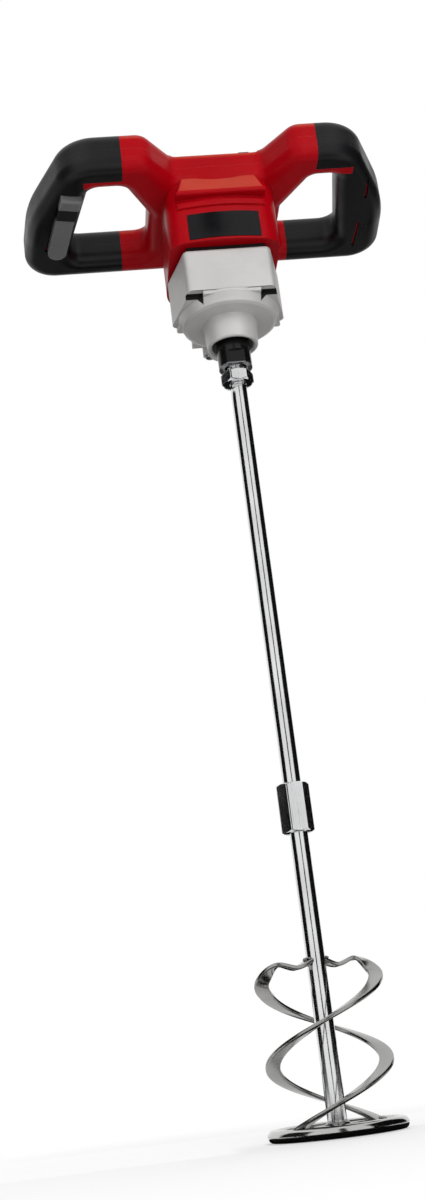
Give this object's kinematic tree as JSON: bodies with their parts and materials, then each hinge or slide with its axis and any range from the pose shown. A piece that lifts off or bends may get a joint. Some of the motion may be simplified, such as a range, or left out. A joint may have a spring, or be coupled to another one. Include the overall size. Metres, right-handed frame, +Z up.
{
  "type": "mixing drill",
  "caption": "Cordless mixing drill: red motor barrel with a hand loop on each side, cast gear case, black spindle and a long chromed rod with a helical stirrer.",
  "frame": {"origin": "on the spindle axis at the lower rim of the gear cover's neck", "axes": "+Z up along the spindle towards the motor, -Y to the front with the label plate, -X to the loop with the trigger"},
  "size_m": [0.3219, 0.164, 0.7935],
  "materials": {
    "red_moulding": "satin red moulding",
    "grip_rubber": "fine-grained black soft grip",
    "black_gloss": "smooth black plastic",
    "black_plastic": "matt black plastic",
    "grey_plastic": "satin grey plastic",
    "cast_aluminium": "bead-blasted casting",
    "bare_aluminium": "extruded, plain",
    "black_steel": "black oxide",
    "chromed_steel": "bright chrome",
    "plain_steel": "machined",
    "zinc_screws": "zinc plated",
    "bronze": "sintered bronze and copper",
    "magnet_grey": "ferrite",
    "carbon": "carbon",
    "gasket_rubber": "moulded rubber",
    "board_green": "coated board",
    "lead_black": "insulated wire"
  },
  "bodies": {
    "drill": {"lower_housing": "red_moulding", "upper_housing": "red_moulding", "left_grip_lower": "grip_rubber", "left_grip_upper": "grip_rubber", "right_grip_lower": "grip_rubber", "right_grip_upper": "grip_rubber", "grip_inlay": "black_gloss", "housing_screws": "zinc_screws", "label_plate": "black_gloss", "battery_foot": "black_plastic", "battery_contacts": "bronze", "gearbox_case": "cast_aluminium", "gear_cover": "cast_aluminium", "cover_screws": "zinc_screws", "gearbox_gasket": "gasket_rubber", "case_screws": "zinc_screws", "layshaft_bushes": "bronze", "spindle_bearing_lower": "plain_steel", "spindle_bearing_upper": "plain_steel", "spindle_seal": "gasket_rubber", "motor_plate": "bare_aluminium", "motor_can": "plain_steel", "motor_screws": "zinc_screws", "motor_magnets": "magnet_grey", "motor_bearings": "plain_steel", "motor_end_cap": "black_plastic", "carbon_brushes": "carbon", "control_board": "board_green", "board_heatsink": "bare_aluminium", "motor_leads": "lead_black", "power_leads": "lead_black", "switch_lead": "lead_black", "trigger_pin": "plain_steel", "switch_guard": "grey_plastic", "switch_body": "black_plastic"},
    "output": {"spindle": "black_steel", "output_gear": "plain_steel", "retaining_ring": "plain_steel", "upper_rod": "chromed_steel", "lower_rod": "chromed_steel", "lock_nut": "chromed_steel", "rod_coupling": "chromed_steel", "bottom_ring": "chromed_steel", "left_ribbon": "chromed_steel", "right_ribbon": "chromed_steel", "ring_spoke": "chromed_steel"},
    "layshaft": {"layshaft": "plain_steel", "layshaft_gear": "plain_steel"},
    "armature": {"armature_shaft": "plain_steel", "armature_core": "plain_steel", "armature_windings": "bronze", "commutator": "bronze", "motor_fan": "black_plastic", "motor_pinion": "plain_steel"},
    "trigger": {"trigger": "grey_plastic"},
    "plunger": {"switch_plunger": "black_plastic"},
    "lock_button": {"lock_button": "black_plastic"}
  },
  "joints": [
    {"name": "spindle_spin", "type": "hinge", "parent": "drill", "child": "output", "pos_m": [0, 0, 0], "axis": [0, 0, 1], "continuous": true},
    {"name": "layshaft_spin", "type": "hinge", "parent": "drill", "child": "layshaft", "pos_m": [0, 0.04125, 0.049], "axis": [0, 0, 1], "continuous": true},
    {"name": "armature_spin", "type": "hinge", "parent": "drill", "child": "armature", "pos_m": [0, 0.01525, 0.099], "axis": [0, 0, 1], "continuous": true},
    {"name": "trigger_pull", "type": "hinge", "parent": "drill", "child": "trigger", "pos_m": [-0.13082, -0.01053, 0.1365], "axis": [0.977, 0.213, 0], "range_deg": [0, 9], "stiffness_Nm_per_rad": 0.8},
    {"name": "plunger_push", "type": "slide", "parent": "drill", "child": "plunger", "axis": [0, 0, 1], "range_m": [0, 0.0035]},
    {"name": "lock_push", "type": "slide", "parent": "drill", "child": "lock_button", "axis": [0, 0, 1], "range_m": [0, 0.003], "stiffness_N_per_m": 400}
  ],
  "couplings": [
    {"joint": "layshaft_spin", "follows": "spindle_spin", "ratio": -3.5833},
    {"joint": "armature_spin", "follows": "spindle_spin", "ratio": 15.05},
    {"joint": "plunger_push", "follows": "trigger_pull", "m_per_rad": 0.0205}
  ]
}
